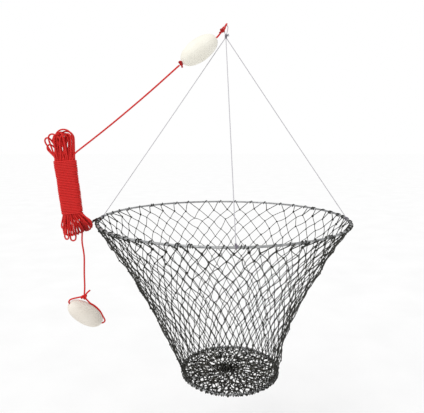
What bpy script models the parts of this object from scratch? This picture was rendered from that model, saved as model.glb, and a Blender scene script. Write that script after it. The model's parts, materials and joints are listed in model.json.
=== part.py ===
"""Folding crab trap: two steel hoops, a knotted net basket, a three-line harness and a floated haul rope.

Metres, +Z up. The origin is the top of the lifting loop, which the whole trap hangs from.
"""

import math

import bmesh
import bpy
import numpy as np
from mathutils import Matrix, Vector

# Driving dimensions
TOP_HOOP_DIAMETER = 0.762  # to the rod's centre line
BASE_HOOP_DIAMETER = 0.305
HOOP_ROD = 0.00635
NET_DEPTH = 0.500  # top hoop down to base hoop
BASE_SHIFT = 0.0235  # the base hangs a little to the right of the top hoop
NET_WAIST = 0.027  # how far the net pulls in from a straight cone
NET_SWAY = 0.010  # how far its middle hangs to the left of the line between the hoops' centres
NET_THICKNESS = 0.003
HARNESS_RISE = 0.541  # top hoop up to the middle of the apex knot
LOOP_HEIGHT = 0.033  # that middle up to the top of the lifting loop
HARNESS_CORD = 0.0025
HAUL_ROPE = 0.005
FLOAT_LENGTH = 0.120
FLOAT_DIAMETER = 0.066
FLOAT_BORE = 0.0127
HANK_THICKNESS = 0.038
GAP = 0.0003  # left between pieces that touch

# What the rest is placed from
TOP_CENTRE = Vector((-0.006, 0.0, -HARNESS_RISE - LOOP_HEIGHT))
BASE_CENTRE = TOP_CENTRE + Vector((BASE_SHIFT, 0.0, -NET_DEPTH))
APEX = Vector((0.0, 0.0, -LOOP_HEIGHT))
TAIL_EXIT = TOP_CENTRE + Vector((-0.441, 0.0, -0.047))
TOP_RADIUS = TOP_HOOP_DIAMETER / 2
BASE_RADIUS = BASE_HOOP_DIAMETER / 2
ROPE_POINT_SPACING = 3 * HAUL_ROPE
KNOT_RADIUS = 0.0058

# Round the top hoop, in degrees from +X; each is a whole number of the hoop's segments
HARNESS_ANGLES = {"left": 177.0, "right": -3.0, "front": -87.0}
HANK_TIE_ANGLE = 183.0
TOP_HOOP_SEGMENTS = 120

# The upper float hangs on the rope between the stop knot below it and the eye knot above it
FLOAT_AXIS = Vector((0.824, 0.0, 0.567)).normalized()
UPPER_FLOAT_CENTRE = TOP_CENTRE + Vector((-0.0727, 0.0, 0.5030))
STOP_KNOT = UPPER_FLOAT_CENTRE - FLOAT_AXIS * (FLOAT_LENGTH / 2 + KNOT_RADIUS + GAP)
EYE_KNOT = Vector((-0.010, 0.0, -0.0155))

# The lower float hangs from a loop of rope that runs through its bore and back over its side
LOWER_FLOAT_CENTRE = TOP_CENTRE + Vector((-0.4420, 0.0, -0.3108))
LOWER_FLOAT_AXIS = Vector((0.762, 0.200, -0.616)).normalized()
TAIL_KNOT = TOP_CENTRE + Vector((-0.443, 0.0, -0.255))

COLOURS = {  # colour, roughness, metallic
    "galvanised_steel": ((0.46, 0.47, 0.48), 0.45, 0.9),
    "net_twine": ((0.025, 0.026, 0.02), 0.8, 0.0),
    "harness_cord": ((0.72, 0.73, 0.74), 0.7, 0.0),
    "haul_rope": ((0.68, 0.02, 0.02), 0.75, 0.0),
    "float_foam": ((0.88, 0.86, 0.76), 0.7, 0.0),
    "tie_twine": ((0.12, 0.03, 0.03), 0.85, 0.0),
}


def clear_scene():
    for thing in list(bpy.data.objects):
        bpy.data.objects.remove(thing, do_unlink=True)


def new_collection(name):
    collection = bpy.data.collections.new(name)
    bpy.context.scene.collection.children.link(collection)
    return collection


def new_material(name):
    colour, roughness, metallic = COLOURS[name]
    material = bpy.data.materials.new(name)
    material.use_nodes = True
    shader = material.node_tree.nodes["Principled BSDF"]
    shader.inputs["Base Color"].default_value = (*colour, 1.0)
    shader.inputs["Roughness"].default_value = roughness
    shader.inputs["Metallic"].default_value = metallic
    return material


def new_pivot(name, location, parent=None):
    """An empty that the pieces of one moving body hang from."""
    pivot = bpy.data.objects.new(name, None)
    pivot.empty_display_size = 0.03
    pivot.location = Vector(location) - (parent["place"] if parent else Vector())
    pivot.parent = parent["object"] if parent else None
    PARTS.objects.link(pivot)
    return {"object": pivot, "place": Vector(location)}


def add_part(name, data, material, pivot, location=(0, 0, 0), rotation=None):
    """A sub-part whose data is in its own axes, put at location in the world."""
    part = bpy.data.objects.new(name, data)
    part.location = Vector(location) - pivot["place"]
    part.rotation_mode = "QUATERNION"
    if rotation:
        part.rotation_quaternion = rotation
    part.parent = pivot["object"]
    data.materials.append(material)
    PARTS.objects.link(part)
    return part


def smooth_shading(mesh, sharp_angle=40.0):
    mesh.shade_smooth()
    mesh.set_sharp_from_angle(angle=math.radians(sharp_angle))


def mesh_from(bm, name):
    mesh = bpy.data.meshes.new(name)
    bm.to_mesh(mesh)
    bm.free()
    smooth_shading(mesh)
    return mesh


def along(direction):
    """The turn that takes +Z to a direction."""
    return Vector(direction).to_track_quat("Z", "Y")


def smooth_route(points, spacing):
    """Points at an even spacing along a smooth curve through the route's own points."""
    p = np.array([tuple(point) for point in points])
    p = np.vstack([2 * p[0] - p[1], p, 2 * p[-1] - p[-2]])
    t = np.linspace(0, 1, 16, endpoint=False)[:, None]
    spans = []
    for a, b, c, d in zip(p, p[1:], p[2:], p[3:]):
        square = (2 * a - 5 * b + 4 * c - d) * t**2
        cube = (3 * b - a - 3 * c + d) * t**3
        spans.append(0.5 * (2 * b + (c - a) * t + square + cube))
    fine = np.vstack([*spans, p[-2:-1]])
    reach = np.concatenate([[0], np.cumsum(np.linalg.norm(np.diff(fine, axis=0), axis=1))])
    stations = np.linspace(0, reach[-1], max(2, round(reach[-1] / spacing) + 1))
    return np.stack([np.interp(stations, reach, fine[:, k]) for k in range(3)], axis=1)


def add_tube(name, points, diameter, material, pivot):
    """A cord along points given in the world."""
    curve = bpy.data.curves.new(name, "CURVE")
    curve.dimensions = "3D"
    curve.bevel_depth = diameter / 2
    curve.bevel_resolution = 2
    curve.use_fill_caps = True
    spline = curve.splines.new("POLY")
    spline.points.add(len(points) - 1)
    for point, place in zip(spline.points, points):
        point.co = (*place, 1.0)
    return add_part(name, curve, material, pivot)


def add_hoop(name, centre, radius, segments, material, pivot):
    bpy.ops.mesh.primitive_torus_add(
        major_radius=radius,
        minor_radius=HOOP_ROD / 2,
        major_segments=segments,
        minor_segments=8,
    )
    ring = bpy.context.active_object
    mesh = ring.data
    bpy.data.objects.remove(ring)
    mesh.name = name
    mesh.shade_smooth()
    return add_part(name, mesh, material, pivot, centre)


def turned_mesh(name, profile):
    """The closed outline that a Screw modifier turns about Z, top to bottom down its outer side."""
    bm = bmesh.new()
    verts = [bm.verts.new((radius, 0.0, height)) for radius, height in profile]
    for first, second in zip(verts, verts[1:] + verts[:1]):
        bm.edges.new((first, second))
    mesh = bpy.data.meshes.new(name)
    bm.to_mesh(mesh)
    bm.free()
    return mesh


def turn(part, steps):
    screw = part.modifiers.new("turn", "SCREW")
    screw.axis = "Z"
    screw.angle = 2 * math.pi
    screw.steps = steps
    screw.render_steps = steps
    screw.use_merge_vertices = True
    screw.merge_threshold = 0.00005
    screw.use_smooth_shade = True


def join(part, other):
    """Makes one body of a part and a second shape that laps into it."""
    PARTS.objects.unlink(other)
    CUTTERS.objects.link(other)
    other.hide_render = True
    other.display_type = "WIRE"
    union = part.modifiers.new("join_" + other.name, "BOOLEAN")
    union.operation = "UNION"
    union.solver = "EXACT"
    union.object = other


def add_ball(name, centre, width, length, direction, material, pivot):
    """An egg-shaped lump, length along a direction."""
    bm = bmesh.new()
    size = Matrix.Diagonal((width / 2, width / 2, length / 2, 1.0))
    bmesh.ops.create_uvsphere(bm, u_segments=12, v_segments=8, radius=1.0, matrix=size)
    return add_part(name, mesh_from(bm, name), material, pivot, centre, along(direction))


def add_tag_end(name, start, direction, length, diameter, material, pivot):
    """A short straight end of cord that sticks out of a knot."""
    bm = bmesh.new()
    bmesh.ops.create_cone(
        bm,
        cap_ends=True,
        segments=10,
        radius1=diameter / 2,
        radius2=diameter / 2,
        depth=length,
        matrix=Matrix.Translation((0, 0, length / 2)),
    )
    return add_part(name, mesh_from(bm, name), material, pivot, start, along(direction))


def add_knot(name, centre, width, length, direction, cord, tags, material, pivot):
    """A knot as one lump, with the tag ends that its cord leaves sticking out."""
    knot = add_ball(name, centre, width, length, direction, material, pivot)
    for number, (tag_direction, tag_length) in enumerate(tags):
        tag_name = f"{name}_tag_{number}"
        tag = add_tag_end(tag_name, centre, tag_direction, tag_length, cord, material, pivot)
        join(knot, tag)
    return knot


def on_top_hoop(angle):
    """The point of the top hoop's centre line at an angle, and the rod's direction there."""
    turn_angle = math.radians(angle)
    outward = Vector((math.cos(turn_angle), math.sin(turn_angle), 0.0))
    return TOP_CENTRE + outward * TOP_RADIUS, Vector((-outward.y, outward.x, 0.0))


HITCH_BORE = HOOP_ROD / 2 + GAP
HITCH_RADIUS = HITCH_BORE + HARNESS_CORD
HITCH_LENGTH = 2.4 * HARNESS_CORD  # two turns round the rod, side by side
HITCH_KNOT = 0.0060
HITCH_REACH = HITCH_RADIUS + 0.0010  # rod centre to knot centre


def add_hitch(name, angle, towards, material, pivot):
    """Two turns of cord round the top hoop, with the knot on the side that the pull comes from."""
    place, rod = on_top_hoop(angle)
    pull = towards - place
    pull = (pull - rod * pull.dot(rod)).normalized()
    half, corner = HITCH_LENGTH / 2, HARNESS_CORD * 0.3
    profile = [
        (HITCH_BORE, half),
        (HITCH_RADIUS - corner, half),
        (HITCH_RADIUS, half - corner),
        (HITCH_RADIUS, corner - half),
        (HITCH_RADIUS - corner, -half),
        (HITCH_BORE, -half),
    ]
    hitch = add_part(name, turned_mesh(name, profile), material, pivot, place, along(rod))
    turn(hitch, 14)
    knot_place = place + pull * HITCH_REACH
    knot_name = name + "_knot"
    join(hitch, add_ball(knot_name, knot_place, HITCH_KNOT, HITCH_KNOT, pull, material, pivot))
    return place + pull * (HITCH_REACH + HITCH_KNOT / 2 + 2 * GAP)


def add_harness(material, tie_material, root, hoop):
    """The lifting loop, the knot under it and the three lines down to the top hoop."""
    knot_width, knot_length = 0.0075, 0.0140
    tags = [((0.8, 0.15, 0.6), 0.010), ((0.95, -0.2, 0.15), 0.009)]
    add_knot(
        "apex_knot", APEX, knot_width, knot_length, (0, 0, 1), HARNESS_CORD, tags, material, root
    )

    knot_top = APEX.z + knot_length / 2 + 2 * GAP
    loop_half_width = 0.0060
    crown = -HARNESS_CORD / 2
    side = [
        (0.0016, knot_top),
        (0.0034, knot_top + 0.005),
        (loop_half_width, crown - 0.0085),
        (loop_half_width * 0.80, crown - 0.0025),
    ]
    route = [(0, -y, z) for y, z in side] + [(0, 0, crown)] + [(0, y, z) for y, z in side[::-1]]
    add_tube("lifting_loop", smooth_route(route, HARNESS_CORD), HARNESS_CORD, material, root)

    for side_name, angle in HARNESS_ANGLES.items():
        spread = Vector((math.cos(math.radians(angle)), math.sin(math.radians(angle)), 0.0))
        top = APEX + spread * HARNESS_CORD + Vector((0, 0, -knot_length / 2 - 0.0012))
        name = f"harness_hitch_{side_name}"
        bottom = add_hitch(name, angle, top, tie_material, hoop)
        ends = [top, top.lerp(bottom, 0.5) + Vector((0, 0, -0.0012)), bottom]
        line = smooth_route(ends, 0.06)
        add_tube(f"harness_line_{side_name}", line, HARNESS_CORD, material, root)


def net_ring(depth_share):
    """Centre and radius of the side net at a share of the way down."""
    cone = TOP_RADIUS + (BASE_RADIUS - TOP_RADIUS) * depth_share
    waist = NET_WAIST * math.sin(math.pi * depth_share**1.15)
    sway = Vector((-NET_SWAY * math.sin(math.pi * depth_share), 0.0, 0.0))
    return TOP_CENTRE.lerp(BASE_CENTRE, depth_share) + sway, cone - waist


def add_side_net(material, pivot):
    """The funnel of net between the hoops, clear of both; its centre moves over as it goes down."""
    segments, rows = 48, 8
    top_share = 0.0070 / NET_DEPTH
    base_share = 1 - 0.0062 / NET_DEPTH
    bm = bmesh.new()
    rings = []
    for row in range(rows + 1):
        centre, radius = net_ring(top_share + (base_share - top_share) * row / rows)
        angles = [2 * math.pi * step / segments for step in range(segments)]
        places = [centre + Vector((math.cos(a), math.sin(a), 0.0)) * radius for a in angles]
        rings.append([bm.verts.new(place - TOP_CENTRE) for place in places])
    for upper, lower in zip(rings, rings[1:]):
        for step in range(segments):
            after = (step + 1) % segments
            bm.faces.new((upper[step], lower[step], lower[after], upper[after]))
    net = add_part("side_net", mesh_from(bm, "side_net"), material, pivot, TOP_CENTRE)
    skin = net.modifiers.new("thickness", "SOLIDIFY")
    skin.thickness = NET_THICKNESS
    skin.offset = 0.0


def add_base(steel, twine, pivot):
    """The small hoop, the flat net laced across it and the tie that gathers that net's middle."""
    add_hoop("base_hoop", BASE_CENTRE, BASE_RADIUS, 44, steel, pivot)
    bm = bmesh.new()
    radius = BASE_RADIUS - HOOP_ROD / 2 - 2 * GAP
    bmesh.ops.create_cone(
        bm, cap_ends=True, segments=44, radius1=radius, radius2=radius, depth=NET_THICKNESS
    )
    net_place = BASE_CENTRE + Vector((0, 0, NET_THICKNESS / 2 - HOOP_ROD / 2 - 0.0001))
    add_part("base_net", mesh_from(bm, "base_net"), twine, pivot, net_place)
    tie_height = 0.006
    tie_place = net_place + Vector((-0.008, 0, NET_THICKNESS / 2 + tie_height / 2 + GAP))
    add_ball("base_gather_tie", tie_place, 0.015, tie_height, (0, 0, 1), twine, pivot)


def float_profile():
    """An egg float's outer side, top to bottom, and back up its bore."""
    bore = FLOAT_BORE / 2
    rim = bore + 0.0015
    half_length, half_width = FLOAT_LENGTH / 2, FLOAT_DIAMETER / 2
    first = math.acos(rim / half_width)
    steps = 18
    outer = []
    for step in range(steps + 1):
        angle = first - 2 * first * step / steps
        outer.append((half_width * math.cos(angle), half_length * math.sin(angle) / math.sin(first)))
    return [(bore, half_length + 0.0003), *outer, (bore, -half_length - 0.0003)]


def add_float(name, centre, axis, material, pivot):
    mesh = turned_mesh(name, float_profile())
    turn(add_part(name, mesh, material, pivot, centre, along(axis)), 32)


def add_upper_rope(rope, root):
    """The eye through the lifting loop, the rope down through the upper float, and the lead to the hank."""
    crown = Vector((0, 0, -HARNESS_CORD / 2))
    down = (EYE_KNOT - crown).normalized()
    across = Vector((-down.z, 0, down.x))
    bend = (HARNESS_CORD + HAUL_ROPE) / 2 + GAP
    arc = [math.radians(a) for a in range(-90, 91, 30)]
    tip = [crown - down * (bend * math.cos(a)) + across * (bend * math.sin(a)) for a in arc]
    knot_side = EYE_KNOT - down * (KNOT_RADIUS + 0.0012)
    ends = [knot_side - across * 0.0029, knot_side + across * 0.0029]
    add_tube("rope_eye", smooth_route([ends[0], *tip, ends[1]], 0.0025), HAUL_ROPE, rope, root)
    add_ball("eye_knot", EYE_KNOT, 2 * KNOT_RADIUS, 2.2 * KNOT_RADIUS, down, rope, root)

    stop_tags = [((0.35, 0.2, -1.0), 0.012)]
    add_knot(
        "stop_knot", STOP_KNOT, 2.5 * KNOT_RADIUS, 2 * KNOT_RADIUS, FLOAT_AXIS, HAUL_ROPE,
        stop_tags, rope, root,
    )
    bore_half = FLOAT_AXIS * (FLOAT_LENGTH / 2)
    upward = Vector((-FLOAT_AXIS.z, 0, FLOAT_AXIS.x))
    through = [
        STOP_KNOT + FLOAT_AXIS * (KNOT_RADIUS + GAP),
        UPPER_FLOAT_CENTRE - bore_half * 0.6,
        UPPER_FLOAT_CENTRE,
        UPPER_FLOAT_CENTRE + bore_half * 0.6,
        UPPER_FLOAT_CENTRE + bore_half,
        UPPER_FLOAT_CENTRE + bore_half + FLOAT_AXIS * 0.010 + upward * 0.0020,
        EYE_KNOT + down * (1.1 * KNOT_RADIUS + 2 * GAP),
    ]
    add_tube("float_line", smooth_route(through, ROPE_POINT_SPACING), HAUL_ROPE, rope, root)

    lead_end = TOP_CENTRE + Vector((-0.4435, 0.0, 0.2105))
    lead_start = STOP_KNOT - FLOAT_AXIS * (KNOT_RADIUS + 2 * GAP)
    middle = lead_start.lerp(lead_end, 0.5) + Vector((0, 0, -0.0055))
    quarter = lead_start.lerp(lead_end, 0.25) + Vector((0, 0, -0.0041))
    three_quarters = lead_start.lerp(lead_end, 0.75) + Vector((0, 0, -0.0041))
    lead = [lead_start, quarter, middle, three_quarters, lead_end]
    add_tube("rope_lead", smooth_route(lead, ROPE_POINT_SPACING), HAUL_ROPE, rope, root)


# The hank's outline from the front, clockwise from its crown, from the top hoop's centre
HANK_OUTLINE = (
    (-0.492, 0.274),
    (-0.458, 0.250),
    (-0.4485, 0.205),
    (-0.4490, 0.150),
    (-0.4365, 0.030),
    (-0.411, -0.008),
    (-0.429, -0.039),
    (-0.448, -0.047),
    (-0.465, -0.075),
    (-0.484, -0.074),
    (-0.499, -0.050),
    (-0.504, 0.000),
    (-0.5215, 0.170),
    (-0.545, 0.232),
    (-0.530, 0.258),
)


def add_hank(rope, tie, pivot):
    """The bundled rope as one rounded slab in the shape of its outline, and the twine that holds it."""
    rounding = 0.012
    curve = bpy.data.curves.new("rope_hank", "CURVE")
    curve.dimensions = "2D"
    curve.fill_mode = "BOTH"
    curve.resolution_u = 4
    curve.extrude = HANK_THICKNESS / 2 - rounding
    curve.bevel_depth = rounding
    curve.bevel_resolution = 2
    curve.offset = -rounding
    spline = curve.splines.new("BEZIER")
    spline.bezier_points.add(len(HANK_OUTLINE) - 1)
    for point, (x, z) in zip(spline.bezier_points, HANK_OUTLINE):
        point.co = (x, z, 0.0)
        point.handle_left_type = "AUTO"
        point.handle_right_type = "AUTO"
    spline.use_cyclic_u = True
    upright = Vector((0, -1, 0)).to_track_quat("Z", "Y")
    add_part("rope_hank", curve, rope, pivot, TOP_CENTRE, upright)

    place, _ = on_top_hoop(HANK_TIE_ANGLE)
    flare = TOP_CENTRE + Vector((-0.409, 0.0, -0.010))
    add_hitch("hank_tie", HANK_TIE_ANGLE, place + (flare - place), tie, pivot)


def beside_float(angle):
    """A point of rope that lies on a float's side: how far along its axis, and how far out from it."""
    half_length, half_width = FLOAT_LENGTH / 2, FLOAT_DIAMETER / 2
    cosine, sine = math.cos(math.radians(angle)), math.sin(math.radians(angle))
    normal = Vector((cosine / half_length, sine / half_width)).normalized()
    clear = HAUL_ROPE / 2 + 3 * GAP
    return half_length * cosine + normal.x * clear, half_width * sine + normal.y * clear


def add_tail(rope, tail):
    """The rope that hangs from the hank, its knot, and the loop through the lower float."""
    drop = [
        TAIL_EXIT,
        TAIL_EXIT + Vector((-0.0015, 0.0, -0.030)),
        TAIL_EXIT + Vector((0.0025, 0.0015, -0.075)),
        TAIL_EXIT + Vector((0.0010, 0.0, -0.130)),
        TAIL_EXIT + Vector((0.0005, 0.0, -0.175)),
        TAIL_KNOT + Vector((0, 0, KNOT_RADIUS + 2 * GAP)),
    ]
    add_tube("rope_tail", smooth_route(drop, ROPE_POINT_SPACING), HAUL_ROPE, rope, tail)

    tags = [((0.80, -0.1, 0.60), 0.022)]
    add_knot(
        "tail_knot", TAIL_KNOT, 2.2 * KNOT_RADIUS, 2 * KNOT_RADIUS, (0, 0, 1), HAUL_ROPE,
        tags, rope, tail,
    )

    axis = LOWER_FLOAT_AXIS
    to_knot = TAIL_KNOT - LOWER_FLOAT_CENTRE
    side = (to_knot - axis * to_knot.dot(axis)).normalized()
    into_bore = [(-0.0423, 0.0387), (-0.0520, 0.0310), (-0.0620, 0.0210), (-0.0690, 0.0120)]
    through = [(-0.0680, 0.0040), (-0.0600, 0.0003), (-0.0380, 0.0), (0.0, 0.0), (0.0380, 0.0)]
    round_end = [(0.0610, 0.0003), (0.0695, 0.0055), (0.0680, 0.0145)]
    loop = into_bore + through + round_end + [beside_float(a) for a in range(38, 99, 15)]
    loop.append((-0.0283, 0.0408))
    route = [LOWER_FLOAT_CENTRE + axis * s + side * r for s, r in loop]
    add_tube("float_loop", smooth_route(route, ROPE_POINT_SPACING), HAUL_ROPE, rope, tail)


clear_scene()
PARTS = new_collection("folding_crab_trap")
CUTTERS = new_collection("folding_crab_trap_cutters")


def main():
    materials = {name: new_material(name) for name in COLOURS}
    steel, twine = materials["galvanised_steel"], materials["net_twine"]
    rope, foam = materials["haul_rope"], materials["float_foam"]

    root = new_pivot("pivot_lifting_loop", (0, 0, 0))
    hoop = new_pivot("pivot_top_hoop", TOP_CENTRE, root)
    base = new_pivot("pivot_base", BASE_CENTRE, hoop)
    upper = new_pivot("pivot_upper_float", UPPER_FLOAT_CENTRE, root)
    tail = new_pivot("pivot_tail", TAIL_EXIT, hoop)
    lower = new_pivot("pivot_lower_float", LOWER_FLOAT_CENTRE, tail)

    add_harness(materials["harness_cord"], materials["tie_twine"], root, hoop)
    add_hoop("top_hoop", TOP_CENTRE, TOP_RADIUS, TOP_HOOP_SEGMENTS, steel, hoop)
    add_side_net(twine, hoop)
    add_base(steel, twine, base)
    add_upper_rope(rope, root)
    add_float("upper_float", UPPER_FLOAT_CENTRE, FLOAT_AXIS, foam, upper)
    add_hank(rope, materials["tie_twine"], hoop)
    add_tail(rope, tail)
    add_float("lower_float", LOWER_FLOAT_CENTRE, LOWER_FLOAT_AXIS, foam, lower)


main()
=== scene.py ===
import json
import math

import bpy
import numpy as np
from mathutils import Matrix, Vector


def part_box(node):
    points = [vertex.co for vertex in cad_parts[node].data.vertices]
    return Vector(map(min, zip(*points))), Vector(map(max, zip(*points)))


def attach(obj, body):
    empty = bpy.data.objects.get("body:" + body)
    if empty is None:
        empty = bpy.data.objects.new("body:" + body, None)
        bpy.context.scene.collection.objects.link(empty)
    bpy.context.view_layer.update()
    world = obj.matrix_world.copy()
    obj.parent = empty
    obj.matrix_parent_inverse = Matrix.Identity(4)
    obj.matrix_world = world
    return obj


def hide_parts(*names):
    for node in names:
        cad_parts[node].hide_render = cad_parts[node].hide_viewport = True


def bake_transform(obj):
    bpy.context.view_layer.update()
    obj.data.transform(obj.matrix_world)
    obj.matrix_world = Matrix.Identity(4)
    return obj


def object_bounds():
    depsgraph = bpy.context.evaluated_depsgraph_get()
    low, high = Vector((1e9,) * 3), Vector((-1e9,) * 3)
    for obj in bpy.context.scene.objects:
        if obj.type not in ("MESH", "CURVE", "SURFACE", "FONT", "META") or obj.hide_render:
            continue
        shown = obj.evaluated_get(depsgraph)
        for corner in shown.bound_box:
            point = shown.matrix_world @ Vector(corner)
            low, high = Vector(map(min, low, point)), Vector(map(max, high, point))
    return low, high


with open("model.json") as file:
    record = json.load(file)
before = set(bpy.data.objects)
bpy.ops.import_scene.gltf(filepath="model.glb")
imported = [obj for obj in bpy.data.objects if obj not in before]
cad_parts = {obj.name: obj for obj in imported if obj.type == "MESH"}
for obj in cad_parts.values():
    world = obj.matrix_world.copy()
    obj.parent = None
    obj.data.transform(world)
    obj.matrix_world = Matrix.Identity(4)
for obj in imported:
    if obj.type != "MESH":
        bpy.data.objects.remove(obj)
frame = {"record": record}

CAD_BOX = [[float(x) for x in corner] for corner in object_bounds()]
RNG = np.random.default_rng(11)

# Places and sizes that the frame gives


def box(node):
    low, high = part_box(node)
    return np.array(low, float), np.array(high, float)


def hoop_place(node):
    """A hoop's centre, its radius to the rod's middle, and the rod's radius."""
    low, high = box(node)
    rod = (high[2] - low[2]) / 2
    return (low + high) / 2, (high[0] - low[0]) / 2 - rod, rod


TOP_CENTRE, TOP_RADIUS, ROD = hoop_place("top_hoop")
BASE_CENTRE, BASE_RADIUS, _ = hoop_place("base_hoop")
APEX = np.array([0.0, 0.0, box("apex_knot")[1][2] - 0.007])
JOINTS = {joint["name"]: joint for joint in frame["record"]["behaviour"]["joints"]}
FLOAT_AXIS = np.array(JOINTS["float_slide"]["axis"], float)
LOWER_AXIS = np.array(JOINTS["lower_float_spin"]["axis"], float)
LOWER_CENTRE = np.array(JOINTS["lower_float_spin"]["pos_m"], float)
TAIL_EXIT = np.array(JOINTS["tail_swing"]["pos_m"], float)

# Sizes that the looks add
ROPE = 0.005
HARNESS = 0.0025
TWINE = 0.0022
TIE = 0.0030
FLOAT_LENGTH, FLOAT_DIAMETER, FLOAT_BORE = 0.120, 0.066, 0.0127
GAP = 0.0003  # between pieces that touch
UP = np.array([0.0, 0.0, 1.0])


def from_hoop(x, y, z):
    return TOP_CENTRE + np.array([x, y, z])


# Camera

CAMERA_FROM_HOOP = (-0.0347, -1.3716, 0.2416)
CAMERA_PITCH = math.radians(90 - 8.5)
CAMERA_LENS = 37.95


def make_camera():
    data = bpy.data.cameras.new("camera")
    data.lens = CAMERA_LENS
    data.sensor_width = 36.0
    camera = bpy.data.objects.new("camera", data)
    camera.location = from_hoop(*CAMERA_FROM_HOOP)
    camera.rotation_euler = (CAMERA_PITCH, 0.0, 0.0)
    bpy.context.scene.collection.objects.link(camera)
    bpy.context.scene.camera = camera


make_camera()

# Lines and tubes


def unit(vector):
    return np.asarray(vector, float) / np.linalg.norm(vector)


def reach_of(line):
    return np.concatenate([[0], np.cumsum(np.linalg.norm(np.diff(line, axis=0), axis=1))])


def even(line, spacing):
    """The same line with points at an even spacing."""
    reach = reach_of(line)
    at = np.linspace(0, reach[-1], max(2, round(reach[-1] / spacing) + 1))
    return np.stack([np.interp(at, reach, line[:, k]) for k in range(3)], axis=1)


def smooth_route(points, spacing):
    """Points at an even spacing along a smooth curve through the route's own points."""
    p = np.array([tuple(point) for point in points])
    p = np.vstack([2 * p[0] - p[1], p, 2 * p[-1] - p[-2]])
    t = np.linspace(0, 1, 16, endpoint=False)[:, None]
    spans = []
    for a, b, c, d in zip(p, p[1:], p[2:], p[3:]):
        square = (2 * a - 5 * b + 4 * c - d) * t**2
        cube = (3 * b - a - 3 * c + d) * t**3
        spans.append(0.5 * (2 * b + (c - a) * t + square + cube))
    return even(np.vstack([*spans, p[-2:-1]]), spacing)


def relaxed(line, rounds):
    """The line with its corners eased, its ends kept."""
    line = line.copy()
    for _ in range(rounds):
        line[1:-1] = 0.25 * line[:-2] + 0.5 * line[1:-1] + 0.25 * line[2:]
    return line


def carried_frame(line, closed=False):
    """Two directions square to the line at each of its points, carried along it without twist."""
    if closed:
        ahead, behind = np.roll(line, -1, axis=0), np.roll(line, 1, axis=0)
        tangent = ahead - behind
    else:
        tangent = np.gradient(line, axis=0)
    tangent /= np.linalg.norm(tangent, axis=1)[:, None]
    start = np.cross(tangent[0], UP if abs(tangent[0][2]) < 0.9 else (1.0, 0.0, 0.0))
    normals = [unit(start)]
    for direction in tangent[1:]:
        carried = normals[-1] - direction * normals[-1].dot(direction)
        normals.append(carried / np.linalg.norm(carried))
    normals = np.array(normals)
    return normals, np.cross(tangent, normals)


def tube_rings(line, diameter, sides, closed=False):
    """One tube's points, and the way round and along it at each point, in diameters."""
    normal, side = carried_frame(line, closed)
    angle = 2 * math.pi * np.arange(sides) / sides
    cosine, sine = np.cos(angle)[None, :, None], np.sin(angle)[None, :, None]
    points = line[:, None] + diameter / 2 * (cosine * normal[:, None] + sine * side[:, None])
    lay = np.empty(points.shape)
    lay[..., 0], lay[..., 1] = np.cos(angle), np.sin(angle)
    lay[..., 2] = (reach_of(line) / diameter)[:, None]
    return points, lay


def tube_faces(count, sides, closed):
    """A tube's quads, and its two end caps unless it closes on itself."""
    ring = np.arange(count if closed else count - 1)[:, None]
    step = np.arange(sides)[None]
    after = (step + 1) % sides
    upper = (ring + 1) % count * sides
    lower = ring * sides
    quads = np.stack(np.broadcast_arrays(lower + step, lower + after, upper + after, upper + step), -1)
    caps = []
    if not closed:
        caps = [list(range(sides))[::-1], list(range((count - 1) * sides, count * sides))]
    return quads.reshape(-1, 4), caps


def tubes_mesh(name, lines, diameter, sides, closed=False):
    """One mesh of many tubes. Its lay attribute drives the strands in the cord's material."""
    points, lays, faces, smooth, start = [], [], [], [], 0
    for line in lines:
        p, lay = tube_rings(np.asarray(line, float), diameter, sides, closed)
        quads, caps = tube_faces(len(line), sides, closed)
        points.append(p.reshape(-1, 3))
        lays.append(lay.reshape(-1, 3))
        faces.extend((quads + start).tolist())
        faces.extend([[i + start for i in cap] for cap in caps])
        smooth.extend([True] * len(quads) + [False] * len(caps))
        start += len(points[-1])
    mesh = bpy.data.meshes.new(name)
    mesh.from_pydata(np.concatenate(points).tolist(), [], faces)
    mesh.polygons.foreach_set("use_smooth", smooth)
    data = mesh.attributes.new("lay", "FLOAT_VECTOR", "POINT").data
    data.foreach_set("vector", np.concatenate(lays).astype(np.float32).ravel())
    mesh.update()
    return mesh


def add_piece(name, mesh, material, replaces=()):
    piece = bpy.data.objects.new("look_" + name, mesh)
    mesh.materials.append(material)
    bpy.context.scene.collection.objects.link(piece)
    if replaces:
        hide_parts(*replaces)
    return piece


class Cord:
    """A kind of cord: its diameter, the sides of its tube, its material and the record's slot."""

    def __init__(self, diameter, sides, material, slot):
        self.diameter = diameter
        self.sides = sides
        self.material = material
        self.slot = slot

    def add(self, name, lines, replaces=(), closed=False):
        mesh = tubes_mesh(name + "_mesh", lines, self.diameter, self.sides, closed)
        return add_piece(name, mesh, self.material, replaces)


# Materials, each from nodes


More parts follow.
